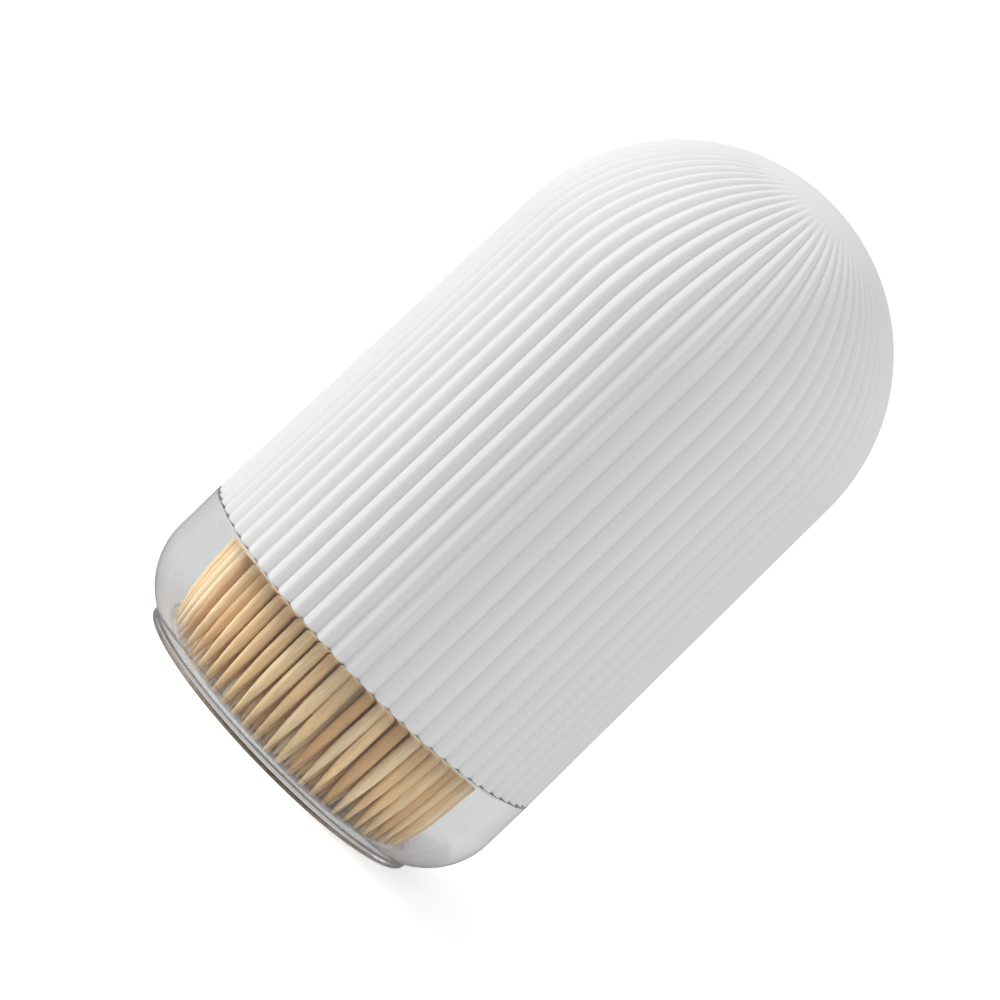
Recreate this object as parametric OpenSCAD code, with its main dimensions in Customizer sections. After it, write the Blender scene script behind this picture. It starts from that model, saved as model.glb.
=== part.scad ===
// Toothpick holder for the table. A clear round cup holds the toothpicks upright, and a white
// ribbed lid with a dome top drops over the cup's neck and stands on its ledge. All lengths are
// in millimetres. The cup's foot stands at z = 0, and the holder's axis is the Z axis.

/* [Cup] */
// Radius of the cup's outer wall, and of the lid's rim above it
rim_r = 29; // [26:0.5:34]
// Height of the ledge that the lid stands on
ledge_z = 18; // [15:0.5:26]
// Width of the ledge, from the rim in to the neck
ledge_w = 2; // [1.6:0.1:3]
// Rounding of the ledge's outer edge
ledge_round = 0.4; // [0.2:0.1:0.8]
// Thickness of the neck's wall
neck_wall = 1.4; // [1:0.1:2]
// Height of the neck above the ledge
neck_h = 28; // [18:1:36]
// Thickness of the floor, measured up from the table
floor_t = 1.7; // [1.4:0.1:3]
// Radius of the rounded corner round the outside of the bottom
corner_r = 10.4; // [8:0.2:12]
// Radius of the rounded corner round the floor, inside
inner_corner_r = 8; // [5:0.2:9]
// Step in from the cup's outer wall to the side of its foot
foot_inset = 5.6; // [4:0.2:8]
// Width of the ring that the foot stands on
foot_ring_w = 2.9; // [1.5:0.1:5]
// Depth of the hollow under the floor
foot_hollow = 0.6; // [0.3:0.1:0.9]

/* [Lid] */
// How much smaller the dome's radius is than the rim's
lid_draft = 1; // [0.5:0.1:2]
// Thickness of the lid's wall, measured from the tops of the ribs
lid_wall = 1.7; // [1.4:0.1:2.4]
// Clearance all round between the neck and the lid's skirt
skirt_gap = 0.1; // [0.05:0.01:0.2]
// Free height between the top of the neck and the step inside the lid
neck_head = 1.2; // [0.8:0.1:3]
// Free height between the toothpicks' upper points and the level where the dome starts
head_room = 6.5; // [4:0.1:12]

/* [Ribs] */
// Number of ribs round the lid
ribs = 66; // [48:1:72]
// Depth of the grooves between the ribs on the straight wall
rib_depth = 0.57; // [0.3:0.01:0.7]
// Roundness of a rib's top: 2 is a round arc, and lower values have straighter sides
rib_roundness = 1.5; // [1.2:0.1:2.5]
// Radius round the top of the dome inside which it is smooth
smooth_r = 7.6; // [5:0.2:10]
// Radius round the top of the dome outside which the grooves have their full slope
full_rib_r = 14; // [12:0.5:20]

/* [Toothpicks] */
// Length of a toothpick
pick_len = 65; // [55:1:75]
// Thickness of a toothpick
pick_d = 2; // [1.8:0.05:2.4]
// Length of the point at each end
pick_point_len = 8; // [5:0.5:14]
// Thickness at the very end of a point
pick_point_d = 0.4; // [0.2:0.05:0.6]
// Least gap between neighbours in a row, at their feet
pick_gap = 0.03; // [0.02:0.01:0.1]
// Room at the feet, from the cup's bore in to the middle of the outer toothpicks
bundle_room = 4.5; // [3.2:0.1:6]
// Room between the outer toothpicks' upper ends and the wall that they lean towards
pick_room = 0.4; // [0.2:0.1:1]
// Gap under the toothpicks' lower points
pick_seat_gap = 0.1; // [0.05:0.05:0.3]

/* [Hidden] */

// Faces round every full circle
$fn = 96;
// Extra length that takes a cut clear of the face it leaves
overrun = 1;

// The neck is the cup's wall above the ledge, inside the lid
neck_r = rim_r - ledge_w;
bore_r = neck_r - neck_wall;
neck_z = ledge_z + neck_h;

// Middle of each rounded corner, as radius and height
corner_c = [rim_r - corner_r, corner_r];
inner_corner_c = [bore_r - inner_corner_r, floor_t + inner_corner_r];

// The foot's side runs up until it meets the outer corner's curve
foot_r = rim_r - foot_inset;
foot_h = corner_c[1] - arc_drop(foot_r, corner_c[0], corner_r);

// The dome is a half ball on the lid's tapered wall
dome_r = rim_r - lid_draft;
dome_z = floor_t + pick_len + head_room;
dome_in_r = dome_r - lid_wall;
skirt_r = neck_r + skirt_gap;
skirt_z = neck_z + neck_head;

// The outer row of toothpicks stands on the floor's rounded corner and leans outwards until its
// upper ends are near the lid's wall, or its middle is near the top of the neck
foot_row_r = bore_r - bundle_room;
pick_r = pick_d / 2;
lean_lid = asin((dome_in_r - pick_room - pick_r - foot_row_r) / pick_len);
lean_neck = atan((bore_r - pick_room - pick_r - foot_row_r) / (neck_z - floor_t));
lean = min(lean_lid, lean_neck);

// The bundle's round rows run from the outside in, and it is divided into equal slices, like a cake
rows = floor(foot_row_r / (pick_d + pick_gap));
slices = 8;

// Radius, share of the way out from the axis, and number of toothpicks in a row
function row_share(row) = (rows + 1 - row) / rows;
function row_r(row) = foot_row_r * row_share(row);
function row_count(row) = floor(360 / (2 * asin((pick_d + pick_gap) / 2 / row_r(row))));

// Points across one rib, as shares of half its width from the middle, starting in a groove
rib_point_shares = [-1, -0.5, 0, 0.5];
rib_points = len(rib_point_shares);
// Bands of faces up the ribbed part of the dome, and up its smooth top
ribbed_bands = 10;
smooth_bands = 2;

// Height of a round corner's curve below or above its middle, at a given radius
function arc_drop(r, c, arc_r) = sqrt(arc_r * arc_r - (r - c) * (r - c));

// Height of the cup's floor at a given radius
function floor_at(r) = r <= inner_corner_c[0]
    ? floor_t
    : inner_corner_c[1] - arc_drop(r, inner_corner_c[0], inner_corner_r);

// Share of the full slope that the grooves have at a given radius, from 0 on the smooth top to
// 1 on the side, with a soft start and end
function rib_share(r) = let (t = max(0, min(1, (r - smooth_r) / (full_rib_r - smooth_r))))
    t * t * (3 - 2 * t);

// Groove depth at a given radius. A groove keeps its slopes as the ribs narrow up the dome
function groove_depth(r) = rib_depth * r / rim_r * rib_share(r);

// Radius over the ribs at a given height on the tapered wall
function wall_radius(z) = rim_r - lid_draft * (z - ledge_z) / (dome_z - ledge_z);

// One level of the dome's skin at an angle above its base, as radius, height and the outward
// normal's two parts
function dome_level(a) = [dome_r * cos(a), dome_z + dome_r * sin(a), cos(a), sin(a)];

// Ring of points round one level of the lid's skin
function skin_ring(level) = [
    for (i = [0 : ribs - 1], s = rib_point_shares)
        let (
            turn = 360 * (i + s / 2) / ribs,
            cut = groove_depth(level[0]) * pow(abs(s), rib_roundness),
            r = level[0] - cut * level[2]
        )
        [r * cos(turn), r * sin(turn), level[1] - cut * level[3]]
];

module cup_outline() {
    // Foot, up to the rounded corner
    square([foot_r, foot_h]);
    square([corner_c[0], corner_c[1]]);
    intersection() {
        translate(corner_c) circle(corner_r);
        square([rim_r, corner_c[1]]);
    }
    // Outer wall, up to the rounded edge of the ledge
    translate([0, corner_c[1]]) {
        square([rim_r, ledge_z - ledge_round - corner_c[1]]);
        square([rim_r - ledge_round, ledge_z - corner_c[1]]);
    }
    translate([rim_r - ledge_round, ledge_z - ledge_round]) circle(ledge_round);
    // Neck, with its rounded lip
    translate([0, corner_c[1]]) square([neck_r, neck_z - neck_wall / 2 - corner_c[1]]);
    translate([neck_r - neck_wall / 2, neck_z - neck_wall / 2]) circle(neck_wall / 2);
}

module cup_bore_outline() {
    translate([0, floor_t]) square([inner_corner_c[0], inner_corner_r]);
    intersection() {
        translate(inner_corner_c) circle(inner_corner_r);
        square([bore_r, inner_corner_c[1]]);
    }
    translate([0, inner_corner_c[1]]) square([bore_r, neck_z - neck_wall / 2 - inner_corner_c[1]]);
    translate([0, inner_corner_c[1]]) square([bore_r - neck_wall / 2, neck_z - inner_corner_c[1]]);
}

// Clear moulded cup: thick floor and wall up to the ledge, and a thinner neck above it
module base_cup() {
    color([0.86, 0.9, 0.92, 0.35])
    rotate_extrude()
    difference() {
        cup_outline();
        cup_bore_outline();
        // Hollow under the floor, inside the foot's ring
        translate([0, -overrun]) square([foot_r - foot_ring_w, foot_hollow + overrun]);
    }
}

// Outside of the lid as one ribbed skin: a tapered wall from below the rim to the dome, then rings
// of points up the dome to its top
module ribbed_body() {
    smooth_a = acos(smooth_r / dome_r);
    levels = concat(
        [[wall_radius(ledge_z - overrun), ledge_z - overrun, 1, 0]],
        [for (i = [0 : ribbed_bands]) dome_level(smooth_a * i / ribbed_bands)],
        [for (i = [1 : smooth_bands - 1]) dome_level(smooth_a + (90 - smooth_a) * i / smooth_bands)]
    );
    around = ribs * rib_points;
    rings = len(levels);
    points = concat([for (level = levels) each skin_ring(level)], [[0, 0, dome_z + dome_r]]);
    faces = concat(
        [[for (j = [0 : around - 1]) j]],
        [for (i = [0 : rings - 2], j = [0 : around - 1])
            let (a = i * around, k = (j + 1) % around)
            each [[a + j, a + around + j, a + around + k], [a + j, a + around + k, a + k]]],
        [for (j = [0 : around - 1])
            [(rings - 1) * around + j, rings * around, (rings - 1) * around + (j + 1) % around]]
    );
    polyhedron(points, faces);
}

// Half outline of what is cut from the ribbed skin: all below the flat rim, and the space inside.
// That is a skirt that slides over the neck, then a tapered wall and a round top that follow the
// outside
module lid_cut_outline() {
    wall_r = wall_radius(skirt_z) - lid_wall;
    translate([0, ledge_z - 2 * overrun]) square([rim_r + overrun, 2 * overrun]);
    translate([0, ledge_z]) square([skirt_r, skirt_z - ledge_z]);
    polygon([[0, skirt_z], [wall_r, skirt_z], [dome_in_r, dome_z], [0, dome_z]]);
    translate([0, dome_z])
    intersection() {
        circle(dome_in_r);
        square(dome_in_r);
    }
}

// White moulded lid: ribbed outside, smooth inside
module lid() {
    color([0.96, 0.96, 0.95])
    difference() {
        ribbed_body();
        rotate_extrude() lid_cut_outline();
    }
}

// One round toothpick with a long point at each end, standing on its lower point
module toothpick() {
    cylinder(h = pick_point_len, d1 = pick_point_d, d2 = pick_d);
    translate([0, 0, pick_point_len]) cylinder(h = pick_len - 2 * pick_point_len, d = pick_d);
    translate([0, 0, pick_len - pick_point_len])
        cylinder(h = pick_point_len, d1 = pick_d, d2 = pick_point_d);
}

// A toothpick in a given row, turned round the axis. Inner rows lean less, so that all spread
// evenly towards their upper ends
module standing_toothpick(row, turn) {
    rotate([0, 0, turn])
    translate([row_r(row), 0, floor_at(row_r(row) + pick_point_d / 2) + pick_seat_gap])
    rotate([0, lean * row_share(row), 0])
    toothpick();
}

// One slice of the bundle, counted round from +X. The first also has the toothpick on the axis
module toothpicks(slice) {
    color([0.87, 0.72, 0.5]) {
        for (row = [1 : rows])
            for (i = [0 : row_count(row) - 1])
                let (turn = 360 * (i + row_share(row)) / row_count(row))
                if (floor(turn * slices / 360) % slices == slice - 1)
                    standing_toothpick(row, turn);
        if (slice == 1) translate([0, 0, floor_t + pick_seat_gap]) toothpick();
    }
}

base_cup();
lid();
for (slice = [1 : slices])
    toothpicks(slice);
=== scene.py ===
# A toothpick holder, put together from the table up: its clear cup, the toothpicks that stand in
# the cup, and the ribbed white lid that drops over the cup's neck. Lengths are in metres, and the
# Z axis runs up the holder from the table.
import math
import random

import bmesh
import bpy
from mathutils import Matrix, Vector


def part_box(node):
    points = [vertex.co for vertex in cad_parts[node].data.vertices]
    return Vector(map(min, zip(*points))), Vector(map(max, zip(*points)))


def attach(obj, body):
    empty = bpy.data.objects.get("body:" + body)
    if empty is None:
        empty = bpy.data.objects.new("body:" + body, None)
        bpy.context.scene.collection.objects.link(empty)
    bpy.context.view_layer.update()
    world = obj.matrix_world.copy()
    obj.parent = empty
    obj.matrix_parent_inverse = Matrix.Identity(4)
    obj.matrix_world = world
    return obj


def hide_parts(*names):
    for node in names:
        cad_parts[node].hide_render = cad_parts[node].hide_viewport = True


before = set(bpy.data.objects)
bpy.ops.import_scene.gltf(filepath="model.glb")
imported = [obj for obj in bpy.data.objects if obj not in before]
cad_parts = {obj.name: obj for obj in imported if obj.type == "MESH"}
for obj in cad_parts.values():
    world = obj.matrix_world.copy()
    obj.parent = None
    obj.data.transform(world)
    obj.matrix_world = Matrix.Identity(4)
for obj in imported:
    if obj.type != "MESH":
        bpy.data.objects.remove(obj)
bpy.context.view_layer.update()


# The clear cup. One moulding in clear plastic, with a thick floor and wall up to the ledge that
# the lid stands on, and a thinner neck above it, which the lid hides. It is round all over, so
# one outline is spun into the whole shell.
RIM_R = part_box("base_cup")[1].x
NECK_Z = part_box("base_cup")[1].z
LEDGE_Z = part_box("lid")[0].z
LEDGE_W = 0.002
LEDGE_ROUND = 0.0004
NECK_WALL = 0.0014
FLOOR_T = 0.0017
CORNER_R = 0.0104
INNER_CORNER_R = 0.008
FOOT_INSET = 0.0056
FOOT_RING_W = 0.0029
FOOT_HOLLOW = 0.0006
FOOT_ROUND = 0.0003
CUP_SLICES = 32
STEPS_PER_SLICE = 8
EDGE_STEPS = 3
LEDGE_STEPS = 5
NECK_STEPS = 12
CORNER_STEPS = 20
HOLD = 0.0002
LONG_STRAIGHT = 6 * HOLD
MERGE_DISTANCE = 1e-6
CLEAR_TINT = (0.955, 0.96, 0.96, 1)
PLASTIC_IOR = 1.49

neck_r = RIM_R - LEDGE_W
bore_r = neck_r - NECK_WALL
foot_r = RIM_R - FOOT_INSET
hollow_r = foot_r - FOOT_RING_W
corner_centre = (RIM_R - CORNER_R, CORNER_R)
inner_corner_centre = (bore_r - INNER_CORNER_R, FLOOR_T + INNER_CORNER_R)
foot_angle = -math.degrees(math.acos((foot_r - corner_centre[0]) / CORNER_R))


def arc(centre, radius, start, end, steps):
    """Points along a round corner, as radius from the axis and height, between two angles."""
    angles = [math.radians(start + (end - start) * i / steps) for i in range(steps + 1)]
    return [(centre[0] + radius * math.cos(a), centre[1] + radius * math.sin(a)) for a in angles]


def hold_straights(outline):
    """The outline with a point added near each end of its long straight stretches, so that the
    smooth shading of the round corners beside them doesn't spread along them."""
    held = [outline[0]]
    for start, end in zip(outline, outline[1:]):
        length = math.dist(start, end)
        if length > LONG_STRAIGHT:
            for share in (HOLD / length, 1 - HOLD / length):
                held.append(tuple(a + (b - a) * share for a, b in zip(start, end)))
        held.append(end)
    return held


def add_copy(bm, mesh):
    """Adds a mesh to a bmesh, and gives back the points that came with it."""
    before = len(bm.verts)
    bm.from_mesh(mesh)
    bm.verts.ensure_lookup_table()
    return bm.verts[before:]


def spin_shell(outline, slices, steps, press=None):
    """A closed shell: an outline from axis to axis, spun through one slice, which is pressed into
    shape where the piece asks for that, and repeated all round."""
    outline = hold_straights(outline)
    bm = bmesh.new()
    verts = [bm.verts.new((r, 0, z)) for r, z in outline]
    edges = [bm.edges.new(pair) for pair in zip(verts, verts[1:])]
    angle = 2 * math.pi / slices
    bmesh.ops.spin(
        bm, geom=verts + edges, cent=(0, 0, 0), axis=(0, 0, 1), angle=angle, steps=steps
    )
    if press:
        for v in bm.verts:
            v.co = press(v.co)
    one_slice = bpy.data.meshes.new("slice")
    bm.to_mesh(one_slice)
    for i in range(1, slices):
        turn = Matrix.Rotation(i * angle, 4, "Z")
        bmesh.ops.transform(bm, matrix=turn, verts=add_copy(bm, one_slice))
    bpy.data.meshes.remove(one_slice)
    bmesh.ops.remove_doubles(bm, verts=bm.verts, dist=MERGE_DISTANCE)
    bmesh.ops.recalc_face_normals(bm, faces=bm.faces)
    return bm


def mesh_from(bm, name):
    """A mesh made of a bmesh, which is used up by it."""
    mesh = bpy.data.meshes.new(name)
    bm.to_mesh(mesh)
    bm.free()
    return mesh


def add_object(name, data):
    """A new object in the scene, made of a mesh, a lamp's light or a camera's lens."""
    added = bpy.data.objects.new(name, data)
    bpy.context.scene.collection.objects.link(added)
    return added


def finish_piece(bm, name, material, body, slot, *nodes):
    """Makes a smooth object of a bmesh, hangs it on the body that it rides on, and hides the
    imported parts that it takes the place of.
    """
    mesh = mesh_from(bm, name)
    mesh.shade_smooth()
    mesh.materials.append(material)
    piece = add_object(name, mesh)
    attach(piece, body)
    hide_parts(*nodes)


def new_material(name):
    """An empty material and its node tree."""
    material = bpy.data.materials.new(name)
    material.use_nodes = True
    material.node_tree.nodes.clear()
    return material, material.node_tree


def add_node(tree, kind, inputs=None, **properties):
    """A new shader node. Each input is given a plain value, or another node's output to link."""
    node = tree.nodes.new(kind)
    for name, value in properties.items():
        setattr(node, name, value)
    for name, value in (inputs or {}).items():  # after the properties, which can bring inputs
        if isinstance(value, bpy.types.NodeSocket):
            tree.links.new(value, node.inputs[name])
        else:
            node.inputs[name].default_value = value
    return node


def add_noise(tree, place, scale, detail=2.0, roughness=0.5):
    """The values of a noise pattern, which is finer the larger its scale."""
    inputs = {"Vector": place, "Scale": scale, "Detail": detail, "Roughness": roughness}
    return add_node(tree, "ShaderNodeTexNoise", inputs).outputs["Fac"]


def multiply(tree, a, b):
    """The product of two values."""
    return add_node(tree, "ShaderNodeMath", {0: a, 1: b}, operation="MULTIPLY").outputs[0]


def make_handling_marks():
    """Faint smudges and fine rubbing, as a change of roughness and a small height."""
    group = bpy.data.node_groups.new("handling_marks", "ShaderNodeTree")
    for name in ("Smudge Scale", "Rub Scale", "Amount"):
        group.interface.new_socket(name, in_out="INPUT", socket_type="NodeSocketFloat")
    for name in ("Roughness", "Height"):
        group.interface.new_socket(name, in_out="OUTPUT", socket_type="NodeSocketFloat")
    ins = group.nodes.new("NodeGroupInput").outputs
    outs = group.nodes.new("NodeGroupOutput").inputs
    place = add_node(group, "ShaderNodeTexCoord").outputs["Object"]
    smudge = add_noise(group, place, ins["Smudge Scale"], detail=3.0, roughness=0.55)
    rub = add_noise(group, place, ins["Rub Scale"], roughness=0.7)
    both = multiply(group, smudge, rub)
    group.links.new(multiply(group, both, ins["Amount"]), outs["Roughness"])
    group.links.new(rub, outs["Height"])
    return group


def make_clear_plastic():
    """Clear polished plastic. Rays from lamps go straight through it, so that the toothpicks in
    the cup are lit. The eye, and reflections, see it bend light."""
    material, tree = new_material("clear_plastic")
    marks = add_node(
        tree, "ShaderNodeGroup", node_tree=handling_marks,
        inputs={"Smudge Scale": 60, "Rub Scale": 900, "Amount": 0.06},
    )
    bump = add_node(
        tree, "ShaderNodeBump",
        {"Height": marks.outputs["Height"], "Strength": 0.02, "Distance": 0.0001},
    )
    shine = add_node(
        tree, "ShaderNodeBsdfPrincipled",
        {
            "Base Color": CLEAR_TINT,
            "Roughness": marks.outputs["Roughness"],
            "IOR": PLASTIC_IOR,
            "Transmission Weight": 1.0,
            "Normal": bump.outputs["Normal"],
        },
    )
    through = add_node(tree, "ShaderNodeBsdfTransparent", {"Color": CLEAR_TINT})
    path = add_node(tree, "ShaderNodeLightPath")
    mix = add_node(
        tree, "ShaderNodeMixShader",
        {0: path.outputs["Is Shadow Ray"], 1: shine.outputs[0], 2: through.outputs[0]},
    )
    add_node(tree, "ShaderNodeOutputMaterial", {"Surface": mix.outputs[0]})
    return material


handling_marks = make_handling_marks()
cup_outline = [
    (0, FOOT_HOLLOW),
    *arc((hollow_r - FOOT_ROUND, FOOT_HOLLOW - FOOT_ROUND), FOOT_ROUND, 90, 0, EDGE_STEPS),
    *arc((hollow_r + FOOT_ROUND, FOOT_ROUND), FOOT_ROUND, 180, 270, EDGE_STEPS),
    *arc((foot_r - FOOT_ROUND, FOOT_ROUND), FOOT_ROUND, 270, 360, EDGE_STEPS),
    *arc(corner_centre, CORNER_R, foot_angle, 0, CORNER_STEPS),
    *arc((RIM_R - LEDGE_ROUND, LEDGE_Z - LEDGE_ROUND), LEDGE_ROUND, 0, 90, LEDGE_STEPS),
    (neck_r, LEDGE_Z),
    *arc((neck_r - NECK_WALL / 2, NECK_Z - NECK_WALL / 2), NECK_WALL / 2, 0, 180, NECK_STEPS),
    *arc(inner_corner_centre, INNER_CORNER_R, 0, -90, CORNER_STEPS),
    (0, FLOOR_T),
]
finish_piece(
    spin_shell(cup_outline, CUP_SLICES, STEPS_PER_SLICE), "clear_cup", make_clear_plastic(),
    "cup", "clear_plastic", "base_cup",
)


# The toothpicks. Round pale wood, turned to a long point at each end, standing in the cup as a
# loose bundle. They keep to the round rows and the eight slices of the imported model, and each has
# its own slight lean, bow, length, thickness and tone.
PICK_LEN = 0.065
PICK_D = 0.002
PICK_POINT_LEN = 0.008
PICK_POINT_D = 0.0004
PICK_GAP = 0.00003
PICK_SEAT_GAP = 0.0001
PICK_ROOM = 0.0004
BUNDLE_ROOM = 0.0045
LID_WALL = 0.0017
DOME_R = 0.028
PICK_SIDES = 12
SLICES = 8
THINNEST_SHARE = 0.82
SHORTEST_SHARE = 0.99
SIDE_LEAN = 1.0
BOW = 0.0005
WOOD_SEED = 3
# Shares of the point's length, from its thin end, and of the pick's radius there
POINT_SHAPE = ((0, 0.2), (0.12, 0.34), (0.4, 0.66), (0.72, 0.9), (1, 1))
# Shares of the pick's length at which the part between its points has rings
MIDDLE_RINGS = (0.3, 0.5, 0.7)
# Tones from the darkest toothpick, at 0, to the palest, at 1
WOOD_TONES = (
    (0, (0.63, 0.36, 0.16, 1)),
    (0.3, (0.82, 0.55, 0.27, 1)),
    (0.8, (0.92, 0.68, 0.39, 1)),
    (1, (0.96, 0.84, 0.62, 1)),
)
FIBRE_SHADES = (0.82, 1.06)
BLOTCH_SHADES = (0.9, 1.04)
NOISE_RANGE = (0.3, 0.7)
# The fibres are drawn out along the toothpick, and each tone reads another place of the grain
FIBRE_SQUEEZE = (1.0, 1.0, 0.035)
GRAIN_APART = (9.0, 5.0, 3.0)

foot_row_r = bore_r - BUNDLE_ROOM
pick_r = PICK_D / 2
lean_lid = math.asin((DOME_R - LID_WALL - PICK_ROOM - pick_r - foot_row_r) / PICK_LEN)
lean_neck = math.atan((bore_r - PICK_ROOM - pick_r - foot_row_r) / (NECK_Z - FLOOR_T))
pick_lean = min(lean_lid, lean_neck)
pick_rows = int(foot_row_r / (PICK_D + PICK_GAP))
wood_random = random.Random(WOOD_SEED)


def add_ramp(tree, share, stops):
    """Colours that run through stops, from the first at 0 to the last at 1."""
    ramp = add_node(tree, "ShaderNodeValToRGB", {"Fac": share})
    elements = ramp.color_ramp.elements
    elements[0].color = stops[0][1]
    elements[1].color = stops[-1][1]
    for place, colour in stops[1:-1]:
        elements.new(place).color = colour
    return ramp.outputs["Color"]


def add_shades(tree, noise, shades):
    """A noise pattern's usual range, spread between two shades."""
    inputs = {
        "Value": noise,
        "From Min": NOISE_RANGE[0],
        "From Max": NOISE_RANGE[1],
        "To Min": shades[0],
        "To Max": shades[1],
    }
    return add_node(tree, "ShaderNodeMapRange", inputs).outputs[0]


def make_pick_wood():
    """Bare wood with long fibres, faint blotches and a tone for each toothpick."""
    material, tree = new_material("pick_wood")
    place = add_node(tree, "ShaderNodeTexCoord").outputs["Object"]
    tone = add_node(tree, "ShaderNodeAttribute", attribute_name="tone").outputs["Fac"]
    apart = add_node(
        tree, "ShaderNodeVectorMath", {0: GRAIN_APART, "Scale": tone}, operation="SCALE"
    )
    own_place = add_node(
        tree, "ShaderNodeVectorMath", {0: place, 1: apart.outputs[0]}, operation="ADD"
    )
    along = add_node(
        tree, "ShaderNodeMapping", {"Vector": own_place.outputs[0], "Scale": FIBRE_SQUEEZE}
    )
    fibre = add_noise(tree, along.outputs[0], 2600.0, detail=4.0, roughness=0.6)
    blotch = add_noise(tree, own_place.outputs[0], 90.0)
    wood_tone = add_ramp(tree, tone, WOOD_TONES)
    fibre_shade = add_shades(tree, fibre, FIBRE_SHADES)
    blotch_shade = add_shades(tree, blotch, BLOTCH_SHADES)
    shade = multiply(tree, fibre_shade, blotch_shade)
    colour = add_node(
        tree, "ShaderNodeVectorMath", {0: wood_tone, "Scale": shade}, operation="SCALE"
    )
    bump = add_node(
        tree, "ShaderNodeBump", {"Height": fibre, "Strength": 0.35, "Distance": 0.00006}
    )
    wood = add_node(
        tree, "ShaderNodeBsdfPrincipled",
        {"Base Color": colour.outputs[0], "Roughness": 0.62, "Normal": bump.outputs["Normal"]},
    )
    add_node(tree, "ShaderNodeOutputMaterial", {"Surface": wood.outputs[0]})
    return material


def floor_at(r):
    """Height of the cup's floor at a radius, up its rounded corner."""
    out = r - inner_corner_centre[0]
    if out <= 0:
        return FLOOR_T
    return inner_corner_centre[1] - math.sqrt(INNER_CORNER_R ** 2 - out ** 2)


def make_toothpick():
    """One toothpick on its lower point at the origin, drawn up ring by ring."""
    lower = [(z * PICK_POINT_LEN, r * pick_r) for z, r in POINT_SHAPE]
    middle = [(PICK_LEN * share, pick_r) for share in MIDDLE_RINGS]
    upper = [(PICK_LEN - z, r) for z, r in reversed(lower)]
    levels = lower + middle + upper
    bm = bmesh.new()
    bmesh.ops.create_circle(bm, segments=PICK_SIDES, radius=levels[0][1])
    edges = list(bm.edges)
    for (z_before, r_before), (z, r) in zip(levels, levels[1:]):
        drawn = bmesh.ops.extrude_edge_only(bm, edges=edges)["geom"]
        ring = [g for g in drawn if isinstance(g, bmesh.types.BMVert)]
        edges = [g for g in drawn if isinstance(g, bmesh.types.BMEdge)]
        bmesh.ops.scale(bm, verts=ring, vec=(r / r_before, r / r_before, 1))
        bmesh.ops.translate(bm, verts=ring, vec=(0, 0, z - z_before))
    bmesh.ops.holes_fill(bm, edges=bm.edges)
    bmesh.ops.recalc_face_normals(bm, faces=bm.faces)
    return mesh_from(bm, "toothpick")


def stand_toothpick(bm, toothpick, turn, r, lean):
    """Adds a toothpick to a slice, at an angle and radius, leaning out from the axis."""
    tone_layer = bm.verts.layers.float.get("tone") or bm.verts.layers.float.new("tone")
    verts = add_copy(bm, toothpick)
    thick = wood_random.uniform(THINNEST_SHARE, 1)
    size = Matrix.Diagonal((thick, thick, wood_random.uniform(SHORTEST_SHARE, 1), 1))
    roll = Matrix.Rotation(wood_random.uniform(0, 2 * math.pi), 4, "Z")
    side = Matrix.Rotation(math.radians(wood_random.uniform(-SIDE_LEAN, SIDE_LEAN)), 4, "X")
    out = Matrix.Rotation(lean, 4, "Y")
    foot = Matrix.Translation((r, 0, floor_at(r + PICK_POINT_D / 2) + PICK_SEAT_GAP))
    bow = wood_random.uniform(0, BOW)
    tone_here = wood_random.random()
    for v in verts:
        v.co.x += bow * math.sin(math.pi * v.co.z / PICK_LEN)
        v[tone_layer] = tone_here
    placed = Matrix.Rotation(turn, 4, "Z") @ foot @ out @ side @ size @ roll
    bmesh.ops.transform(bm, matrix=placed, verts=verts)


# Each round row, from the outside in, goes round all the slices. The first slice also has the
# toothpick on the axis
toothpick = make_toothpick()
slice_meshes = [bmesh.new() for _ in range(SLICES)]
for row in range(pick_rows, 0, -1):
    share = row / pick_rows
    r = foot_row_r * share
    count = int(math.pi / math.asin((PICK_D + PICK_GAP) / 2 / r))
    for i in range(count):
        round_share = (i + share) / count
        bm = slice_meshes[int(round_share * SLICES) % SLICES]
        stand_toothpick(bm, toothpick, 2 * math.pi * round_share, r, pick_lean * share)
stand_toothpick(slice_meshes[0], toothpick, 0, 0, 0)
bpy.data.meshes.remove(toothpick)
pick_wood = make_pick_wood()
for i, bm in enumerate(slice_meshes, 1):
    finish_piece(bm, f"wood_{i}", pick_wood, "cup", "pick_wood", f"toothpicks_{i}")


# The lid. One white satin moulding that drops over the neck: a slightly tapered wall with a
# half-ball top, ribbed outside and smooth inside. The ribs run up the dome and fade out before
# its top.
LID_DRAFT = RIM_R - DOME_R
SKIRT_GAP = 0.0001
NECK_HEAD = 0.0012
RIM_ROUND = 0.00006
RIM_GAP = 0.00003
RIBS = 66
RIB_DEPTH = 0.00057
RIB_POWER = 1.5
VALLEY_CUT = 0.00006
VALLEY_FROM = 0.99
STEPS_PER_RIB = 12
SMOOTH_R = 0.0076
FULL_RIB_R = 0.014
DOME_BANDS = 44
DOME_BANDS_INSIDE = 36
SATIN_ROUGHNESS = 0.38
WHITES = ((0, (0.845, 0.845, 0.84, 1)), (1, (0.875, 0.875, 0.872, 1)))

dome_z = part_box("lid")[1].z - DOME_R
skirt_r = neck_r + SKIRT_GAP
skirt_z = NECK_Z + NECK_HEAD
rim_z = LEDGE_Z + RIM_GAP


def wall_radius(z):
    """Radius over the ribs at a height on the tapered wall."""
    return RIM_R - LID_DRAFT * (z - LEDGE_Z) / (dome_z - LEDGE_Z)


def groove_depth(r):
    """Depth of the grooves at a radius. They narrow up the dome and fade out on its top."""
    t = max(0, min(1, (r - SMOOTH_R) / (FULL_RIB_R - SMOOTH_R)))
    return RIB_DEPTH * r / RIM_R * t * t * (3 - 2 * t)


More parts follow.
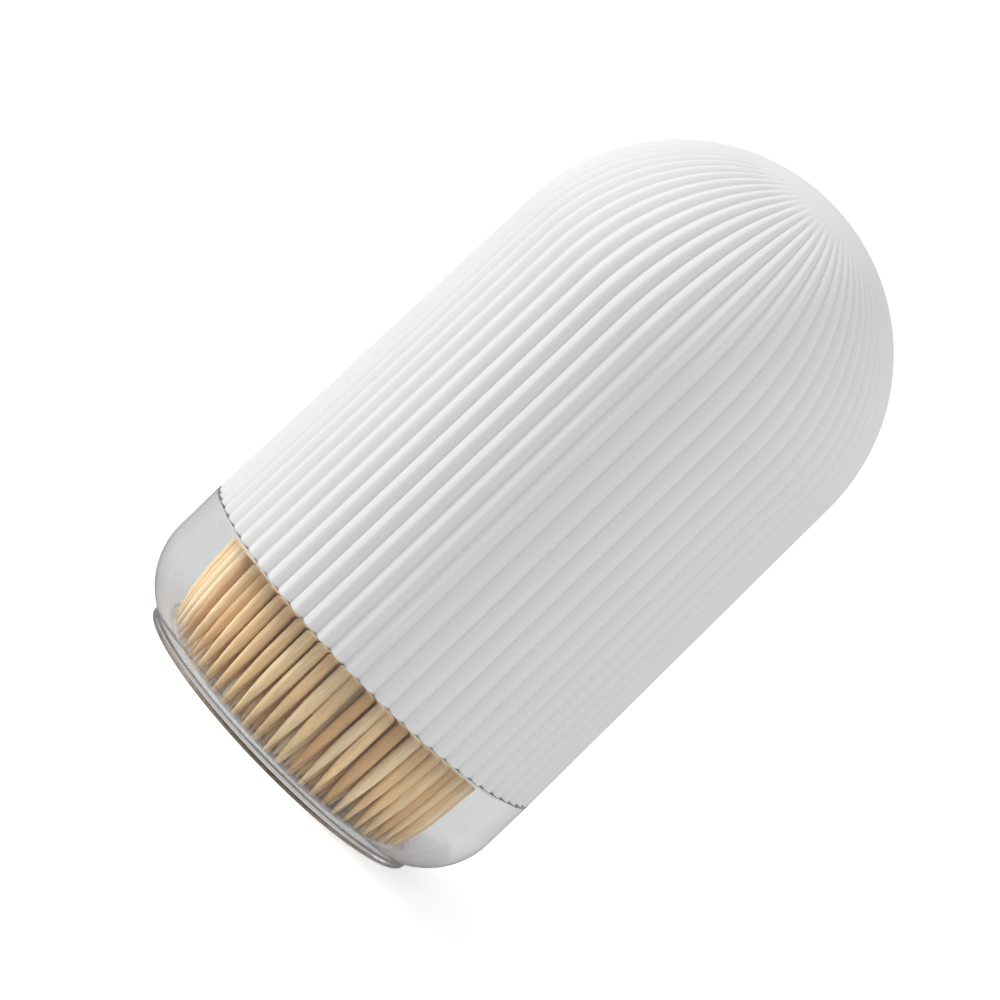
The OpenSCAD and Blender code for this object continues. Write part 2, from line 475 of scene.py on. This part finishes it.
def press_rib(co):
    """Moves a point of the lid's skin in, so that a groove runs on each side of every rib. Each
    groove has a fine cut along its bottom."""
    r = math.hypot(co.x, co.y)
    above = max(0, co.z - dome_z)
    skin = DOME_R if above else wall_radius(co.z)
    if r < SMOOTH_R or math.hypot(r, above) < skin - 2 * RIM_ROUND:
        return co  # on the smooth top or inside the lid
    across = math.atan2(co.y, co.x) * RIBS / (2 * math.pi)
    from_middle = 2 * abs(across - round(across))
    shape = from_middle ** RIB_POWER + VALLEY_CUT / RIB_DEPTH * (from_middle > VALLEY_FROM)
    return co - groove_depth(r) * shape * Vector((co.x, co.y, above)).normalized()


def make_white_plastic():
    """White satin plastic, with faint handling marks and a faint cloud in the white."""
    material, tree = new_material("white_plastic")
    marks = add_node(
        tree, "ShaderNodeGroup", node_tree=handling_marks,
        inputs={"Smudge Scale": 45, "Rub Scale": 2600, "Amount": 0.25},
    )
    satin = add_node(
        tree, "ShaderNodeMath", {0: marks.outputs["Roughness"], 1: SATIN_ROUGHNESS},
        operation="ADD",
    )
    grain = add_node(
        tree, "ShaderNodeBump",
        {"Height": marks.outputs["Height"], "Strength": 0.12, "Distance": 0.00003},
    )
    place = add_node(tree, "ShaderNodeTexCoord").outputs["Object"]
    white = add_node(
        tree, "ShaderNodeBsdfPrincipled",
        {
            "Base Color": add_ramp(tree, add_noise(tree, place, 30.0), WHITES),
            "Roughness": satin.outputs[0],
            "Normal": grain.outputs["Normal"],
        },
    )
    add_node(tree, "ShaderNodeOutputMaterial", {"Surface": white.outputs[0]})
    return material


lid_outline = [
    *arc((0, dome_z), DOME_R, 90, 0, DOME_BANDS),
    *arc((RIM_R - RIM_ROUND, rim_z + RIM_ROUND), RIM_ROUND, 0, -90, EDGE_STEPS),
    *arc((skirt_r + RIM_ROUND, rim_z + RIM_ROUND), RIM_ROUND, -90, -180, EDGE_STEPS),
    (skirt_r, skirt_z),
    (wall_radius(skirt_z) - LID_WALL, skirt_z),
    *arc((0, dome_z), DOME_R - LID_WALL, 0, 90, DOME_BANDS_INSIDE),
]
finish_piece(
    spin_shell(lid_outline, RIBS, STEPS_PER_RIB, press_rib), "ribbed_lid", make_white_plastic(),
    "lid", "white_plastic", "lid",
)


# The table and the studio. A pale matt floor, a soft even light from all round, a lamp at the
# holder's left and a weaker, broader one at its right, as in the photograph. The floor is white
# where it is seen straight, and the background also through clear plastic and in a shine.
FLOOR_SIZE = 6.0
FLOOR_GREY = 0.85
FLOOR_GREY_MIRRORED = 0.4
FLOOR_GLOW_SEEN = 0.5
FLOOR_GLOW_INSIDE = 0.45
ROOM_LIGHT = 0.775
ROOM_LIGHT_INSIDE = 1.8
WHITE = 1.0
# Each lamp's name, strength, angle round from the holder's front, angle up, and width
LAMPS = (("key", 1.6, -89, 22, 16), ("fill", 0.34, 85, 28, 40))


def by_ray(tree, lit, inside, seen, through, mirrored):
    """One of five strengths: for rays that light the holder or that light what its clear plastic
    holds, and for rays that come from the eye straight, through clear plastic or off a shine."""
    path = add_node(tree, "ShaderNodeLightPath").outputs

    def choose(share, no, yes):
        return add_node(tree, "ShaderNodeMix", {0: share, 2: no, 3: yes}).outputs[0]

    sent_through = path["Is Transmission Ray"]
    eye_ray = choose(path["Is Glossy Ray"], lit, choose(sent_through, mirrored, through))
    after_matt = add_node(
        tree, "ShaderNodeMath", {0: path["Diffuse Depth"], 1: 0.5}, operation="GREATER_THAN"
    )
    any_ray = choose(after_matt.outputs[0], eye_ray, choose(sent_through, lit, inside))
    return choose(path["Is Camera Ray"], any_ray, seen)


def make_floor_finish():
    """Matt pale grey, with a glow that turns it white where it is seen straight, and that lights
    what the clear plastic holds. In a shine it is darker."""
    material, tree = new_material("floor_finish")
    grey = by_ray(
        tree, lit=FLOOR_GREY, inside=FLOOR_GREY, seen=FLOOR_GREY, through=FLOOR_GREY,
        mirrored=FLOOR_GREY_MIRRORED,
    )
    colour = add_node(tree, "ShaderNodeCombineColor", {0: grey, 1: grey, 2: grey})
    matt = add_node(tree, "ShaderNodeBsdfDiffuse", {"Color": colour.outputs[0]})
    strength = by_ray(
        tree, lit=0.0, inside=FLOOR_GLOW_INSIDE, seen=FLOOR_GLOW_SEEN, through=0.0, mirrored=0.0
    )
    glow = add_node(tree, "ShaderNodeEmission", {"Strength": strength})
    both = add_node(tree, "ShaderNodeAddShader", {0: matt.outputs[0], 1: glow.outputs[0]})
    add_node(tree, "ShaderNodeOutputMaterial", {"Surface": both.outputs[0]})
    return material


def direction(turn, height):
    """Out from the holder, at an angle round it from its front and an angle above the floor."""
    turn, height = math.radians(turn), math.radians(height)
    return Vector(
        (math.sin(turn) * math.cos(height), -math.cos(turn) * math.cos(height), math.sin(height))
    )


floor_bm = bmesh.new()
bmesh.ops.create_grid(floor_bm, x_segments=1, y_segments=1, size=FLOOR_SIZE / 2)
floor_mesh = mesh_from(floor_bm, "floor")
floor_mesh.materials.append(make_floor_finish())
floor = add_object("floor", floor_mesh)

studio = bpy.data.worlds.new("studio")
studio.use_nodes = True
studio.node_tree.nodes.clear()
room = by_ray(
    studio.node_tree, lit=ROOM_LIGHT, inside=ROOM_LIGHT_INSIDE, seen=WHITE, through=WHITE,
    mirrored=WHITE,
)
sky = add_node(studio.node_tree, "ShaderNodeBackground", {"Strength": room})
add_node(studio.node_tree, "ShaderNodeOutputWorld", {"Surface": sky.outputs[0]})
bpy.context.scene.world = studio

for name, strength, turn, height, width in LAMPS:
    light = bpy.data.lights.new(name, "SUN")
    light.energy = strength
    light.angle = math.radians(width)
    lamp = add_object(name, light)
    lamp.rotation_euler = direction(turn, height).to_track_quat("Z", "Y").to_euler()
    lamp.visible_glossy = False  # their shine would clip to white along the dome's far edge


# The camera. A long lens a metre and a half off and just above the holder, rolled so that the
# holder lies across the picture as it does in the photograph.
AIM_BELOW_DOME = 0.00248
AIM_PIXEL = (664.7, 367.6)
PICTURE_PIXELS = 1000
CAMERA_DISTANCE = 1.54
CAMERA_HEIGHT_ANGLE = 7.93
CAMERA_TURN = 1.99
AXIS_SLOPE = 43.79
SENSOR = 36.0
LENS_PIXELS = 11852
FARTHEST_SEEN = 100
LIGHT_BOUNCES = 24
SHINE_BOUNCES = 12

slope = math.radians(AXIS_SLOPE)
aim = Vector((0, 0, dome_z - AIM_BELOW_DOME))
back = direction(CAMERA_TURN, CAMERA_HEIGHT_ANGLE)
side = direction(CAMERA_TURN + 90, 0)
up = back.cross(side)
picture_right = math.cos(slope) * up + math.sin(slope) * side
picture_up = math.sin(slope) * up - math.cos(slope) * side
facing = Matrix((picture_right, picture_up, back)).transposed()
half = PICTURE_PIXELS / 2
offset = Vector((AIM_PIXEL[0] - half, half - AIM_PIXEL[1], -LENS_PIXELS))
aside = offset.rotation_difference(Vector((0, 0, -1))).to_matrix()
lens = bpy.data.cameras.new("camera")
lens.sensor_width = SENSOR
lens.lens = SENSOR * LENS_PIXELS / PICTURE_PIXELS
lens.clip_end = FARTHEST_SEEN
camera = add_object("camera", lens)
camera.matrix_world = Matrix.Translation(aim + back * CAMERA_DISTANCE) @ (facing @ aside).to_4x4()
bpy.context.scene.camera = camera
bpy.context.scene.view_settings.view_transform = "Standard"

# Light crosses the clear plastic and turns back inside it many times on its way out
bounces = bpy.context.scene.cycles
bounces.max_bounces = LIGHT_BOUNCES
bounces.transmission_bounces = LIGHT_BOUNCES
bounces.glossy_bounces = SHINE_BOUNCES
